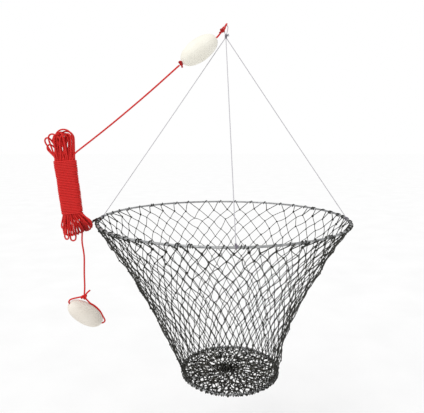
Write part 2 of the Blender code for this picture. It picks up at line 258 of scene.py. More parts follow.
class Nodes:
    """Short calls for building one material's nodes."""

    def __init__(self, name):
        self.material = bpy.data.materials.new(name)
        self.material.use_nodes = True
        self.tree = self.material.node_tree
        self.shader = self.tree.nodes["Principled BSDF"]

    def add(self, kind, inputs=(), **settings):
        node = self.tree.nodes.new(kind)
        for key, value in settings.items():
            setattr(node, key, value)
        for key, value in dict(inputs).items():
            if isinstance(value, bpy.types.NodeSocket):
                self.tree.links.new(value, node.inputs[key])
            else:
                node.inputs[key].default_value = value
        return node

    def attribute(self, name, output):
        return self.add("ShaderNodeAttribute", attribute_name=name).outputs[output]

    def noise(self, vector, scale, detail=3.0, roughness=0.55):
        inputs = {"Vector": vector, "Scale": scale, "Detail": detail, "Roughness": roughness}
        return self.add("ShaderNodeTexNoise", inputs).outputs["Fac"]

    def stretched(self, vector, scale):
        mapping = self.add("ShaderNodeMapping", {"Vector": vector, "Scale": scale})
        return mapping.outputs["Vector"]

    def place(self):
        return self.add("ShaderNodeTexCoord").outputs["Object"]

    def levels(self, factor, low, high, new_low=0.0, new_high=1.0):
        inputs = {
            "Value": factor, "From Min": low, "From Max": high,
            "To Min": new_low, "To Max": new_high,
        }
        return self.add("ShaderNodeMapRange", inputs).outputs["Result"]

    def mix(self, factor, first, second, blend="MIX"):
        node = self.add("ShaderNodeMix", data_type="RGBA", blend_type=blend)
        for socket, value in ((0, factor), (6, first), (7, second)):
            if isinstance(value, bpy.types.NodeSocket):
                self.tree.links.new(value, node.inputs[socket])
            elif socket:
                node.inputs[socket].default_value = (*value, 1.0)
            else:
                node.inputs[socket].default_value = value
        return node.outputs[2]

    def math(self, operation, first, second=0.0):
        return self.add("ShaderNodeMath", {0: first, 1: second}, operation=operation).outputs[0]

    def lay_angles(self):
        """The angle round the cord in radians, and the way along it in diameters."""
        lay = self.attribute("lay", "Vector")
        parts = self.add("ShaderNodeSeparateXYZ", {"Vector": lay}).outputs
        return self.math("ARCTAN2", parts["Y"], parts["X"]), parts["Z"]

    def turned(self, angle, along):
        """A place that turns with the cord's angle, for grain that follows its strands."""
        parts = {"X": self.math("COSINE", angle), "Y": self.math("SINE", angle), "Z": along}
        return self.add("ShaderNodeCombineXYZ", parts).outputs["Vector"]

    def bump(self, height, strength, distance, below=None):
        inputs = {"Height": height, "Strength": strength, "Distance": distance}
        if below:
            inputs["Normal"] = below
        return self.add("ShaderNodeBump", inputs).outputs["Normal"]

    def finish(self, links=(), values=()):
        for key, socket in dict(links).items():
            self.tree.links.new(socket, self.shader.inputs[key])
        for key, value in dict(values).items():
            self.shader.inputs[key].default_value = value
        return self.material


LAY = 3.4  # diameters of laid cord for each turn of its three strands
BRAID = 8  # strands that run each way round a braided rope
PICK = 2.1  # diameters of braided rope for each quarter turn of a strand


def laid_strands(n):
    """Three strands twisted together: how high the surface stands, and a place along the strands."""
    angle, along = n.lay_angles()
    turned = n.math("SUBTRACT", angle, n.math("MULTIPLY", along, 2 * math.pi / LAY))
    wave = n.math("COSINE", n.math("MULTIPLY", turned, 3.0))
    return n.math("MULTIPLY", n.math("ADD", wave, 1.0), 0.5), n.turned(turned, along)


def braided_strands(n):
    """Strands that cross over and under each other: their height, and a place along the rope."""
    angle, along = n.lay_angles()
    around = n.math("MULTIPLY", angle, BRAID / (2 * math.pi))
    advance = n.math("MULTIPLY", along, BRAID / (4 * PICK))
    one, other = n.math("ADD", around, advance), n.math("SUBTRACT", around, advance)
    ridges = [
        n.math("SINE", n.math("MULTIPLY", n.math("FRACT", way), math.pi)) for way in (one, other)
    ]
    cell = n.math("ADD", n.math("FLOOR", one), n.math("FLOOR", other))
    over = n.math("FLOORED_MODULO", cell, 2.0)
    first = n.math("MULTIPLY", ridges[0], over)
    second = n.math("MULTIPLY", ridges[1], n.math("SUBTRACT", 1.0, over))
    return n.math("ADD", first, second), n.turned(angle, along)


def cord_material(
    name, strands, bright, deep, groove_shade, roughness, wear_and_sheen_share=0.25, wear_and_sheen=None, painted_shade=None, shine=0.25
):
    """Cord: filaments along its strands, painted shade between them, and patches of wear with painted
    sheen.

    Its painted-shade argument is a place, a reach and a share: how far painted shade darkens the cord
    round the place.
    """
    n = Nodes(name)
    crown, place = strands(n)
    filaments = n.noise(n.stretched(place, (7.0, 7.0, 0.9)), 2.2, 4.0, 0.7)
    patches = n.noise(n.place(), 55.0, 3.0)
    body = n.mix(n.levels(filaments, 0.3, 0.7), deep, bright)
    # Patches of wear and painted sheen: a lighter colour in random patches
    body = n.mix(n.levels(patches, 0.5, 0.75, 0.0, wear_and_sheen_share), body, wear_and_sheen or bright)
    # Painted shade: the colour goes to the groove colour between the strands
    colour = n.mix(n.levels(crown, 0.0, 0.45), groove_shade, body)
    # Painted shade round a place: the colour goes towards the groove colour
    if painted_shade:
        middle, reach, share = painted_shade
        inputs = {0: n.place(), 1: tuple(middle)}
        away = n.add("ShaderNodeVectorMath", inputs, operation="DISTANCE").outputs["Value"]
        colour = n.mix(n.levels(away, 0.25 * reach, reach, share, 0.0), colour, groove_shade)
    rough = n.levels(filaments, 0.2, 0.8, roughness - 0.1, min(1.0, roughness + 0.12))
    height = n.math("ADD", n.math("MULTIPLY", filaments, 0.3), n.math("MULTIPLY", crown, 0.7))
    normal = n.bump(height, 0.6, 0.0006)
    links = {"Base Color": colour, "Roughness": rough, "Normal": normal}
    return n.finish(links, {"Specular IOR Level": shine})


def steel_material():
    """Galvanised rod: spangled zinc, dull white bloom and a few rust freckles."""
    n = Nodes("galvanised_steel")
    place = n.place()
    cells = n.add("ShaderNodeTexVoronoi", {"Vector": place, "Scale": 240.0}).outputs["Color"]
    spangle = n.add("ShaderNodeRGBToBW", {"Color": cells}).outputs["Val"]
    bloom = n.noise(place, 38.0, 5.0, 0.6)
    freckles = n.noise(place, 170.0, 3.0)
    zinc = n.mix(n.levels(spangle, 0.2, 0.8), (0.24, 0.245, 0.25), (0.44, 0.45, 0.46))
    zinc = n.mix(n.levels(bloom, 0.45, 0.72, 0.0, 0.5), zinc, (0.56, 0.56, 0.55))
    colour = n.mix(n.levels(freckles, 0.70, 0.78, 0.0, 0.7), zinc, (0.20, 0.10, 0.05))
    links = {
        "Base Color": colour,
        "Roughness": n.levels(bloom, 0.3, 0.7, 0.34, 0.62),
        "Metallic": n.levels(bloom, 0.45, 0.72, 0.9, 0.55),
        "Normal": n.bump(n.math("ADD", bloom, spangle), 0.18, 0.0004),
    }
    return n.finish(links)


def foam_material(name, pale, deep, marked):
    """Closed-cell foam: fine pores under a smooth skin, and grey marks where it has been handled."""
    n = Nodes(name)
    place = n.place()
    pores = n.add("ShaderNodeTexVoronoi", {"Vector": place, "Scale": 900.0}).outputs["Distance"]
    grain = n.noise(place, 380.0, 4.0, 0.65)
    clouds = n.noise(place, 20.0, 3.0)
    marks = n.noise(place, 80.0, 4.0, 0.6)
    cream = n.mix(n.levels(clouds, 0.35, 0.7), deep, pale)
    cream = n.mix(n.levels(marks, 0.55, 0.8, 0.0, 0.30), cream, marked)
    colour = n.mix(n.levels(pores, 0.0, 0.22, 0.05, 0.0), cream, marked)
    height = n.math("ADD", n.math("MULTIPLY", pores, 0.4), n.math("MULTIPLY", grain, 0.6))
    links = {
        "Base Color": colour,
        "Roughness": n.levels(grain, 0.3, 0.7, 0.52, 0.66),
        "Normal": n.bump(height, 0.05, 0.0003),
    }
    return n.finish(links, {"Specular IOR Level": 0.3})


STEEL = steel_material()
FOAM = foam_material("float_foam", (0.93, 0.91, 0.82), (0.87, 0.84, 0.74), (0.60, 0.57, 0.48))
# The lower float's foam is a darker, pinker copy of the upper float's
FOAM_DARKER = foam_material(
    "float_foam_darker", (0.84, 0.79, 0.71), (0.75, 0.69, 0.61), (0.50, 0.45, 0.39)
)
# The rope's reds: bright, deep, and the painted shade between its strands
REDS = (0.80, 0.028, 0.024), (0.66, 0.016, 0.014), (0.34, 0.006, 0.006)
ROPE_RED = cord_material("haul_rope", braided_strands, *REDS, 0.6)
# The hank has painted shade where its right-hand bights are tied together
HANK_RED = cord_material(
    "haul_rope_hank", braided_strands, *REDS, 0.6, painted_shade=(from_hoop(-0.430, 0.0, -0.040), 0.042, 1.0)
)
# The knots' red is a darker copy of the rope's: painted shade
KNOT_RED_SHADED = cord_material(
    "haul_rope_knots_shaded", braided_strands, (0.56, 0.016, 0.016), (0.42, 0.008, 0.008),
    (0.20, 0.003, 0.003), 0.6,
)
# Base net twine: wear and painted sheen in patches, and painted shade round the gather tie
NET_WORN_SHEEN = cord_material(
    "net_twine_worn_sheen", laid_strands, (0.030, 0.030, 0.024), (0.010, 0.010, 0.008),
    (0.002, 0.002, 0.002), 0.6, 0.85, (0.230, 0.220, 0.180),
    painted_shade=(sum(box("base_gather_tie")) / 2, 0.048, 1.0), shine=0.06,
)
NET_DEEP = cord_material(
    "net_twine_dark", laid_strands, (0.012, 0.012, 0.010), (0.006, 0.006, 0.005),
    (0.002, 0.002, 0.002), 0.7, shine=0.05,
)
# Side net twine, with wear and painted sheen in patches
NET_BLACK = cord_material(
    "net_twine", laid_strands, (0.034, 0.034, 0.027), (0.013, 0.013, 0.010), (0.003, 0.003, 0.003),
    0.5, 0.7, (0.150, 0.145, 0.118),
)
HARNESS_WHITE = cord_material(
    "harness_cord", laid_strands, (0.70, 0.69, 0.72), (0.58, 0.57, 0.60), (0.34, 0.33, 0.36), 0.6
)
# The harness knots' grey is a darker copy of the harness cord's: painted shade
HARNESS_SHADED = cord_material(
    "harness_knots_shaded", laid_strands, (0.34, 0.31, 0.36), (0.22, 0.20, 0.24), (0.06, 0.05, 0.07), 0.6
)
TIE_DARK = cord_material(
    "tie_twine", laid_strands, (0.060, 0.016, 0.013), (0.028, 0.007, 0.006), (0.008, 0.002, 0.002), 0.6
)

HAUL_ROPE = Cord(ROPE, 14, ROPE_RED, "haul_rope")
HANK_ROPE = Cord(ROPE, 10, HANK_RED, "haul_rope")
KNOT_ROPE = Cord(ROPE, 14, KNOT_RED_SHADED, "haul_rope")
HARNESS_CORD = Cord(HARNESS, 10, HARNESS_WHITE, "harness_cord")
APEX_CORD = Cord(HARNESS, 10, HARNESS_SHADED, "harness_cord")
HITCH_CORD = Cord(HARNESS, 10, HARNESS_SHADED, "tie_twine")
TIE_CORD = Cord(TIE, 10, TIE_DARK, "tie_twine")
NET_TWINE = Cord(TWINE, 7, NET_BLACK, "net_twine")
BASE_TWINE = Cord(0.0030, 7, NET_WORN_SHEEN, "net_twine")
GATHER_TWINE = Cord(TWINE, 7, NET_DEEP, "net_twine")
BASE_KNOT = Cord(0.0024, 6, NET_WORN_SHEEN, "net_twine")
LASHING = Cord(0.0027, 7, NET_BLACK, "net_twine")
KNOT_TWINE = Cord(0.0024, 6, NET_BLACK, "net_twine")
LASHING_KNOT = Cord(0.0030, 7, NET_BLACK, "net_twine")

# Haul rope. Its routes follow part.py's, but the lead rope's lower end is 3 mm lower here.

KNOT = 0.0058
UPPER_CENTRE = from_hoop(-0.0727, 0.0, 0.5030)
STOP_KNOT = UPPER_CENTRE - FLOAT_AXIS * (FLOAT_LENGTH / 2 + KNOT + GAP)
EYE_KNOT = np.array([-0.010, 0.0, -0.0155])
TAIL_KNOT = from_hoop(-0.443, 0.0, -0.255)


def trefoil(count, depth):
    """A trefoil knot's points, 6 across."""
    t = np.linspace(0, 2 * math.pi, count, endpoint=False)
    flat = [np.sin(t) + 2 * np.sin(2 * t), np.cos(t) - 2 * np.cos(2 * t), -depth * np.sin(3 * t)]
    return np.stack(flat, 1)


def rope_knot(name, centre, size, tilt, tags, cord):
    """An overhand knot drawn tight, turned to face along tilt, with its tag ends."""
    scale = (size - cord.diameter) / 6
    z = unit(tilt)
    x = unit(np.cross(z, (0.3, 1.0, 0.2)))
    axes = np.stack([x, np.cross(z, x), z])
    knot = cord.add(name, [centre + scale * trefoil(60, 1.5) @ axes], [name], closed=True)
    lines = []
    for direction, length in tags:
        direction = unit(direction)
        bend = np.cross(direction, (0.0, 1.0, 0.0)) * length * 0.05
        ends = [centre, centre + direction * length * 0.55 + bend, centre + direction * length]
        lines.append(smooth_route(ends, 0.001))
    cord.add(name + "_tags", lines).parent = knot
    return knot


def sagging(start, end, sag, shares):
    """Points on a stretch that sags between its ends."""
    return [start + (end - start) * s - UP * sag * 4 * s * (1 - s) for s in shares]


LEAD_END = from_hoop(-0.4440, 0.0, 0.2075)
lead_start = STOP_KNOT - FLOAT_AXIS * (KNOT - 0.001) - UP * 0.003
lead_line = smooth_route(sagging(lead_start, LEAD_END, 0.0055, (0, 0.25, 0.5, 0.75, 1)), 0.0025)
rope_lead = HAUL_ROPE.add("rope_lead", [lead_line], ["rope_lead"])
stop_knot = rope_knot(
    "stop_knot", STOP_KNOT, 0.0165, FLOAT_AXIS, [((0.35, -0.3, -1.0), 0.014)], KNOT_ROPE
)
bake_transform(rope_lead)
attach(stop_knot, "root")

loop_crown = np.array([0.0, 0.0, -HARNESS / 2])
eye_down = unit(EYE_KNOT - loop_crown)
eye_across = np.array([-eye_down[2], 0.0, eye_down[0]])
eye_bend = (HARNESS + ROPE) / 2 + GAP
float_half = FLOAT_AXIS * FLOAT_LENGTH / 2
float_upward = np.array([-FLOAT_AXIS[2], 0.0, FLOAT_AXIS[0]])
float_line_route = [
    STOP_KNOT + FLOAT_AXIS * (KNOT - 0.001),
    UPPER_CENTRE - float_half * 0.6,
    UPPER_CENTRE,
    UPPER_CENTRE + float_half * 0.6,
    UPPER_CENTRE + float_half,
    UPPER_CENTRE + float_half + FLOAT_AXIS * 0.006 + float_upward * 0.0003,
    EYE_KNOT + eye_down * (KNOT - 0.001),
]
float_line_points = smooth_route(float_line_route, 0.0015)
float_line = HAUL_ROPE.add("float_line", [float_line_points], ["float_line"])
# The two sides of the eye lie side by side at the knot, then turn to pass round the loop's crown
eye_front = np.array([0.0, -1.0, 0.0])
eye_sides = [(KNOT - 0.002, 0.0026, 0), (KNOT + 0.0020, 0.0026, 12)]
eye_sides += [(0.0115, 0.0026, 55), (0.0155, 0.0033, 85)]
eye_arc = [math.radians(a) for a in range(-90, 91, 15)]
eye_tip = [
    loop_crown - eye_down * (eye_bend * math.cos(a)) + eye_front * (eye_bend * math.sin(a))
    for a in eye_arc
]


def eye_side(up, away, turn):
    """A point of the eye's right-hand side, seen from its knot; the other side is opposite."""
    turn = math.radians(turn)
    return -eye_down * up, away * (eye_across * math.cos(turn) + eye_front * math.sin(turn))


sides = [eye_side(*side) for side in eye_sides]
left_side = [EYE_KNOT + up - away for up, away in sides]
right_side = [EYE_KNOT + up + away for up, away in sides[::-1]]
rope_eye = HAUL_ROPE.add(
    "rope_eye", [smooth_route([*left_side, *eye_tip, *right_side], 0.0008)], ["rope_eye"]
)
eye_knot = rope_knot(
    "eye_knot", EYE_KNOT, 0.0160, eye_down + (0.0, 0.6, 0.0), [((-0.70, -0.34, -0.62), 0.0125)], KNOT_ROPE
)
for piece in (float_line, rope_eye, eye_knot):
    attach(piece, "root")

# The hank: bights up and down, then turns round them from the top to the bottom of the band.
# Its own axes are a, up the band from its foot; w, across it to the right; and y, to the back.

BAND_FOOT = from_hoop(-0.4675, 0.0, 0.016)
BAND_HEAD = from_hoop(-0.4840, 0.0, 0.180)
BAND = float(np.linalg.norm(BAND_HEAD - BAND_FOOT))
HANK_UP = unit(BAND_HEAD - BAND_FOOT)
HANK_ACROSS = np.array([HANK_UP[2], 0.0, -HANK_UP[0]])
COLUMNS, LAYERS = 6, 3  # strands in each half of the band
PITCH = 0.0053
WRAP_TURNS, WRAP_STEPS = 32, 24
WRAP_INSET = 0.0025  # the first and last turns' distance from the band's ends

# The far point of each fold, (a, w, y), how far round it is, and how far, in degrees, it is
# turned edge on, in the order that the rope takes them. The top folds join the band's halves.
# report.md says how these were chosen.
TOP_FOLDS = [
    ((0.2432, 0.0217, -0.004), 0.0125, 30),
    ((0.2406, 0.01, -0.007), 0.013, 35),
    ((0.2478, -0.0001, -0.005), 0.013, 45),
    ((0.2452, -0.0105, -0.008), 0.0125, 35),
    ((0.247, -0.029, -0.005), 0.0125, 0),
    ((0.2573, 0.01, -0.002), 0.0265, 0),
    ((0.2365, 0.0264, 0.0), 0.0115, 30),
    ((0.245, 0.011, 0.002), 0.0135, 40),
    ((0.2407, -0.015, -0.0025), 0.012, 40),
    ((0.25, 0.0, 0.0015), 0.014, 40),
    ((0.2367, -0.0475, -0.001), 0.01, 5),
    ((0.2505, 0.0185, 0.005), 0.0215, 10),
    ((0.23, 0.032, 0.0045), 0.0105, 40),
    ((0.2448, 0.005, 0.007), 0.014, 40),
    ((0.2495, -0.0072, 0.005), 0.013, 30),
    ((0.2393, -0.0225, 0.008), 0.011, 25),
    ((0.2145, -0.0475, 0.005), 0.011, 10),
]
RIGHT_FOLDS = [
    ((-0.035, 0.055, -0.004), 0.01, 52),
    ((-0.056, 0.048, -0.003), 0.01, 40),
    ((-0.0615, 0.0255, -0.004), 0.01, 52),
    ((-0.045, 0.0548, 0.0), 0.01, 52),
    ((-0.06, 0.0405, 0.0), 0.01, 45),
    ((-0.0885, -0.0123, 0.0), 0.009, 0),
    ((-0.052, 0.0515, 0.004), 0.01, 52),
    ((-0.0615, 0.033, 0.004), 0.01, 45),
    ((-0.066, 0.0145, 0.005), 0.01, 45),
]
LEFT_FOLDS = [
    ((-0.0705, -0.01, -0.005), 0.01, 52),
    ((-0.0812, -0.03, -0.004), 0.0085, 25),
    ((-0.044, -0.0385, -0.004), 0.01, 52),
    ((-0.0715, -0.003, 0.0), 0.01, 55),
    ((-0.072, -0.0185, 0.0), 0.01, 55),
    ((-0.067, -0.035, 0.0), 0.01, 52),
    ((-0.07, 0.005, 0.005), 0.01, 52),
    ((-0.0705, -0.029, 0.005), 0.01, 52),
    ((-0.056, -0.0375, 0.004), 0.01, 52),
]


def hank_axes(point):
    """A world point in the hank's own axes."""
    away = np.asarray(point) - BAND_FOOT
    return np.array([away @ HANK_UP, away @ HANK_ACROSS, away[1]])


def in_band(a, w, y):
    """A point of the band, which narrows a little from its head to its foot."""
    down = 1 - a / BAND
    return np.array([a, w * (1.02 - 0.085 * down) - 0.0005 - 0.0008 * down, y])


def strand_place(half, number):
    """Where a strand of the left (-1) or right (1) half runs through the band: w and y."""
    column, layer = number % COLUMNS, number // COLUMNS - (LAYERS - 1) / 2
    if half > 0:
        column = COLUMNS - 1 - column
    w = PITCH * (half * (column + 0.5) + layer / LAYERS)
    return w * (1 - 110 * abs(layer) * w * w), PITCH * layer  # the corners of the band are round


def fold(foot, other, tip, radius, turned):
    """From one strand's end, out round the tip, and back to the other strand's end."""
    tip = np.array(tip)
    out = tip - (foot + other) / 2
    out[2] = 0
    out /= np.linalg.norm(out)
    across = np.array([-out[1], out[0], 0.0])
    if across @ (other - foot) < 0:
        across = -across
    turned = math.radians(turned)
    across = across * math.cos(turned) + np.array([0.0, 0.0, math.sin(turned)])
    arc = [math.radians(a) for a in range(-90, 91, 20)]
    centre = tip - out * radius
    return [foot] + [centre + radius * (across * math.sin(a) + out * math.cos(a)) for a in arc] + [other]


def wraps(half_width, half_depth):
    """Turns round the band from its head to its foot, with flat sides and round edges."""
    points = []
    for step in range(WRAP_TURNS * WRAP_STEPS + WRAP_STEPS // 2 + 1):
        angle = math.pi + 2 * math.pi * step / WRAP_STEPS
        cosine, sine = math.cos(angle), math.sin(angle)
        a = BAND - WRAP_INSET - (BAND - 2 * WRAP_INSET) * step / (WRAP_TURNS * WRAP_STEPS)
        swell = 1 + 0.018 * math.sin(a * 41.0) + 0.010 * math.sin(a * 97.0 + 1.0)
        flat = math.copysign(half_width - half_depth, cosine) if abs(cosine) > 0.01 else 0.0
        w = (flat + half_depth * cosine) * swell
        y = half_depth * sine
        points.append(in_band(a + 0.0007 * math.sin(a * 260.0) * cosine, w, y))
    return points


def hank_route():
    """The whole centreline of the hank, from the lead rope to the tail."""
    start, end = hank_axes(LEAD_END), hank_axes(TAIL_EXIT)
    route = [start, start + (-0.0050, -0.0076, -0.0010), (0.1792, 0.0316, -0.0040)]
    tops = iter(TOP_FOLDS)
    for pair in range(0, COLUMNS * LAYERS, 2):
        for half, folds in ((1, RIGHT_FOLDS), (-1, LEFT_FOLDS)):
            down, up = strand_place(half, pair), strand_place(half, pair + 1)
            head, middle, foot = (in_band(a, *down) for a in (BAND, BAND / 2, 0.0))
            up_foot, up_middle, up_head = (in_band(a, *up) for a in (0.0, BAND / 2, BAND))
            route += [head, middle, *fold(foot, up_foot, *folds[pair // 2]), up_middle]
            following = next(tops, None)
            if following:
                next_half, next_pair = (-1, pair) if half > 0 else (1, pair + 2)
                next_head = in_band(BAND, *strand_place(next_half, next_pair))
                route += fold(up_head, next_head, *following)[:-1]
    half_width = PITCH * COLUMNS + ROPE * 0.42
    half_depth = PITCH * LAYERS / 2 + ROPE / 2
    # Over the top and down the back, then round the left edge to the front
    route += [up_head, (BAND + 0.0080, -0.0270, 0.0065), (BAND + 0.0155, -0.0240, 0.0090)]
    route += [(BAND + 0.0175, -0.0160, 0.0120), (BAND + 0.0115, -0.0085, 0.0140)]
    route += [(BAND + 0.0025, -0.0085, 0.0145), (BAND - 0.0030, -0.0160, 0.0130)]
    route += [(BAND - 0.0025, -0.0240, 0.0112), (BAND - 0.0022, -0.0288, 0.0090)]
    route += [(BAND - 0.0024, -0.0328, 0.0050), *wraps(half_width, half_depth)]
    route += [(-0.006, 0.0270, 0.0080), (-0.014, 0.0190, 0.0110), (-0.030, 0.0150, 0.0120)]
    route += [(-0.048, end[1] - 0.0015, 0.0080), end + (0.008, 0.0, 0.0020), end]
    line = even(np.array([np.asarray(point, float) for point in route]), 0.0025)
    line = even(relaxed(line, 7), 0.0024)
    return BAND_FOOT + line[:, :1] * HANK_UP + line[:, 1:2] * HANK_ACROSS + line[:, 2:] * (0, 1, 0)


hank_line = hank_route()
rope_hank = HANK_ROPE.add("rope_hank", [hank_line], ["rope_hank"])
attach(rope_hank, "hoop")

# The tail and the loop through the lower float

tail_route = [
    TAIL_EXIT,
    TAIL_EXIT + (-0.0015, 0.0, -0.030),
    TAIL_EXIT + (0.0025, 0.0015, -0.075),
    TAIL_EXIT + (0.0010, 0.0, -0.130),
    TAIL_EXIT + (0.0005, 0.0, -0.175),
    TAIL_KNOT + (0.0, 0.0, KNOT - 0.001),
]
tail_line = smooth_route(tail_route, 0.0015)
rope_tail = HAUL_ROPE.add("rope_tail", [tail_line], ["rope_tail"])
tail_tags = [((0.66, -0.1, 0.75), 0.030), ((-0.8, -0.3, -0.35), 0.012)]
tail_knot = rope_knot("tail_knot", TAIL_KNOT, 0.0200, (0.2, -1.0, 0.5), tail_tags, HAUL_ROPE)


def beside_float(angle):
    """A point of rope that lies on a float's side: how far along its axis, and how far out from it."""
    half_length, half_width = FLOAT_LENGTH / 2, FLOAT_DIAMETER / 2
    cosine, sine = math.cos(math.radians(angle)), math.sin(math.radians(angle))
    normal = unit((cosine / half_length, sine / half_width))
    clear = ROPE / 2 + 0.0006
    return half_length * cosine + normal[0] * clear, half_width * sine + normal[1] * clear


knot_away = TAIL_KNOT - LOWER_CENTRE
float_side = unit(knot_away - LOWER_AXIS * (knot_away @ LOWER_AXIS))
into_bore = [(-0.0405, 0.0400), (-0.0495, 0.0310), (-0.0590, 0.0210), (-0.0655, 0.0120)]
through = [(-0.0650, 0.0040), (-0.0580, 0.0003), (-0.0380, 0.0), (0.0, 0.0), (0.0380, 0.0)]
round_end = [(0.0590, 0.0003), (0.0660, 0.0050), (0.0655, 0.0135)]
loop_route = into_bore + through + round_end + [beside_float(a) for a in range(38, 99, 15)]
loop_route.append((-0.0300, 0.0412))
loop_line = smooth_route(
    [LOWER_CENTRE + LOWER_AXIS * s + float_side * r for s, r in loop_route], 0.0015
)
float_loop = HAUL_ROPE.add("float_loop", [loop_line], ["float_loop"])
for piece in (rope_tail, tail_knot, float_loop):
    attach(piece, "tail")

# Floats


def float_mesh(name, seed):
    """An egg float: moulded foam with a parting line, a few dents and a rounded bore."""
    rng = np.random.default_rng(seed)
    around, bore = 96, FLOAT_BORE / 2
    half_length, half_width = FLOAT_LENGTH / 2, FLOAT_DIAMETER / 2
    rim = bore + 0.0028
    first = math.acos(rim / half_width)
    profile = []
    for angle in np.linspace(first, -first, 60):
        full = math.cos(angle) ** 0.88 * (rim / half_width) ** (0.12 * (angle / first) ** 8)
        profile.append((half_width * full, half_length * math.sin(angle) / math.sin(first)))
    lip = [(bore + 0.0028 * (1 - math.sin(b)), 0.0012 * math.cos(b)) for b in np.linspace(0.3, 1.57, 5)]
    top = [(r, half_length + h - 0.0010) for r, h in lip[::-1]]
    bottom = [(r, -half_length - h + 0.0010) for r, h in lip]
    wall = [(bore, z) for z in np.linspace(-half_length + 0.004, half_length - 0.004, 12)]
    outline = np.array(top + profile + bottom + wall)
    turn = 2 * math.pi * np.arange(around) / around
    radius, height = outline[:, 0][:, None], outline[:, 1][:, None]
    outer = (radius > rim).astype(float)
    seam = np.exp(-((np.abs(np.sin(turn)) * radius) / 0.0011) ** 2) * 0.00035 * outer
    dents = sum(
        -0.0007 * np.exp(-(((turn - a) * radius) ** 2 + (height - h) ** 2) / 0.007**2)
        for a, h in zip(rng.uniform(0.5, 5.8, 6), rng.uniform(-0.045, 0.045, 6))
    )
    radius = radius + seam + dents * outer
    points = np.stack(
        [radius * np.cos(turn), radius * np.sin(turn), np.broadcast_to(height, radius.shape)], -1
    )
    rows = len(outline)
    quads = []
    for row in range(rows):
        below = (row + 1) % rows
        for step in range(around):
            after = (step + 1) % around
            quads.append((row * around + step, below * around + step,
                          below * around + after, row * around + after))
    mesh = bpy.data.meshes.new(name)
    mesh.from_pydata(points.reshape(-1, 3).tolist(), [], quads)
    mesh.shade_smooth()
    return mesh


def add_float(name, centre, axis, body, material, seed):
    mesh = float_mesh(name + "_mesh", seed)
    turn = Vector(axis).to_track_quat("Z", "Y").to_matrix().to_4x4()
    turn.translation = Vector(centre)
    mesh.transform(turn)
    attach(add_piece(name, mesh, material, [name]), body)


add_float("upper_float", UPPER_CENTRE, FLOAT_AXIS, "upper_float", FOAM, 3)
add_float("lower_float", LOWER_CENTRE, LOWER_AXIS, "lower_float", FOAM_DARKER, 5)

# Hoops


def add_hoop(name, centre, radius, weld_angle, body):
    """A rod bent to a ring and closed by a butt weld, a little out of true."""
    count, sides = 360, 14
    turn = 2 * math.pi * np.arange(count) / count
    wander = 0.0006 * np.sin(3 * turn + 0.7) + 0.0004 * np.sin(7 * turn)
    outward = np.stack([np.cos(turn), np.sin(turn), np.zeros(count)], 1)
    ring = outward * (radius + wander)[:, None]
    ring[:, 2] = 0.0006 * np.sin(2 * turn + 1.1)
    away = np.angle(np.exp(1j * (turn - math.radians(weld_angle)))) * radius
    bead = 0.0008 * np.exp(-((away / 0.0028) ** 2)) * (1 + 0.25 * np.sin(away * 5200))
    angle = 2 * math.pi * np.arange(sides) / sides
    rod = ROD + bead
    points = (
        centre
        + ring[:, None]
        + (rod[:, None] * np.cos(angle))[..., None] * outward[:, None]
        + (rod[:, None] * np.sin(angle))[..., None] * UP
    )
    quads, _ = tube_faces(count, sides, True)
    mesh = bpy.data.meshes.new(name + "_mesh")
    mesh.from_pydata(points.reshape(-1, 3).tolist(), [], quads[:, ::-1].tolist())
    mesh.shade_smooth()
    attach(add_piece(name, mesh, STEEL, [name]), body)


add_hoop("top_hoop", TOP_CENTRE, TOP_RADIUS, 118, "hoop")
add_hoop("base_hoop", BASE_CENTRE, BASE_RADIUS, 40, "base")

# Harness

HARNESS_ANGLES = {"left": 177.0, "right": -3.0, "front": -87.0}
TIE_ANGLE = 183.0


def on_hoop(centre, radius, angle):
    """The rod's middle at an angle in degrees, the way out from the hoop, and along the rod."""
    turn = math.radians(angle)
    outward = np.array([math.cos(turn), math.sin(turn), 0.0])
    return centre + outward * radius, outward, np.array([-outward[1], outward[0], 0.0])


def round_rod(place, outward, rod_way, clear, turns, length, start=0.0, steps=12):
    """A helix of cord round the rod, its first point start degrees up from outward."""
    points = []
    for step in range(round(turns * steps) + 1):
        share = step / (turns * steps)
        angle = math.radians(start) + 2 * math.pi * turns * share
        off = outward * math.cos(angle) + UP * math.sin(angle)
        points.append(place + off * clear + rod_way * length * (share - 0.5))
    return points


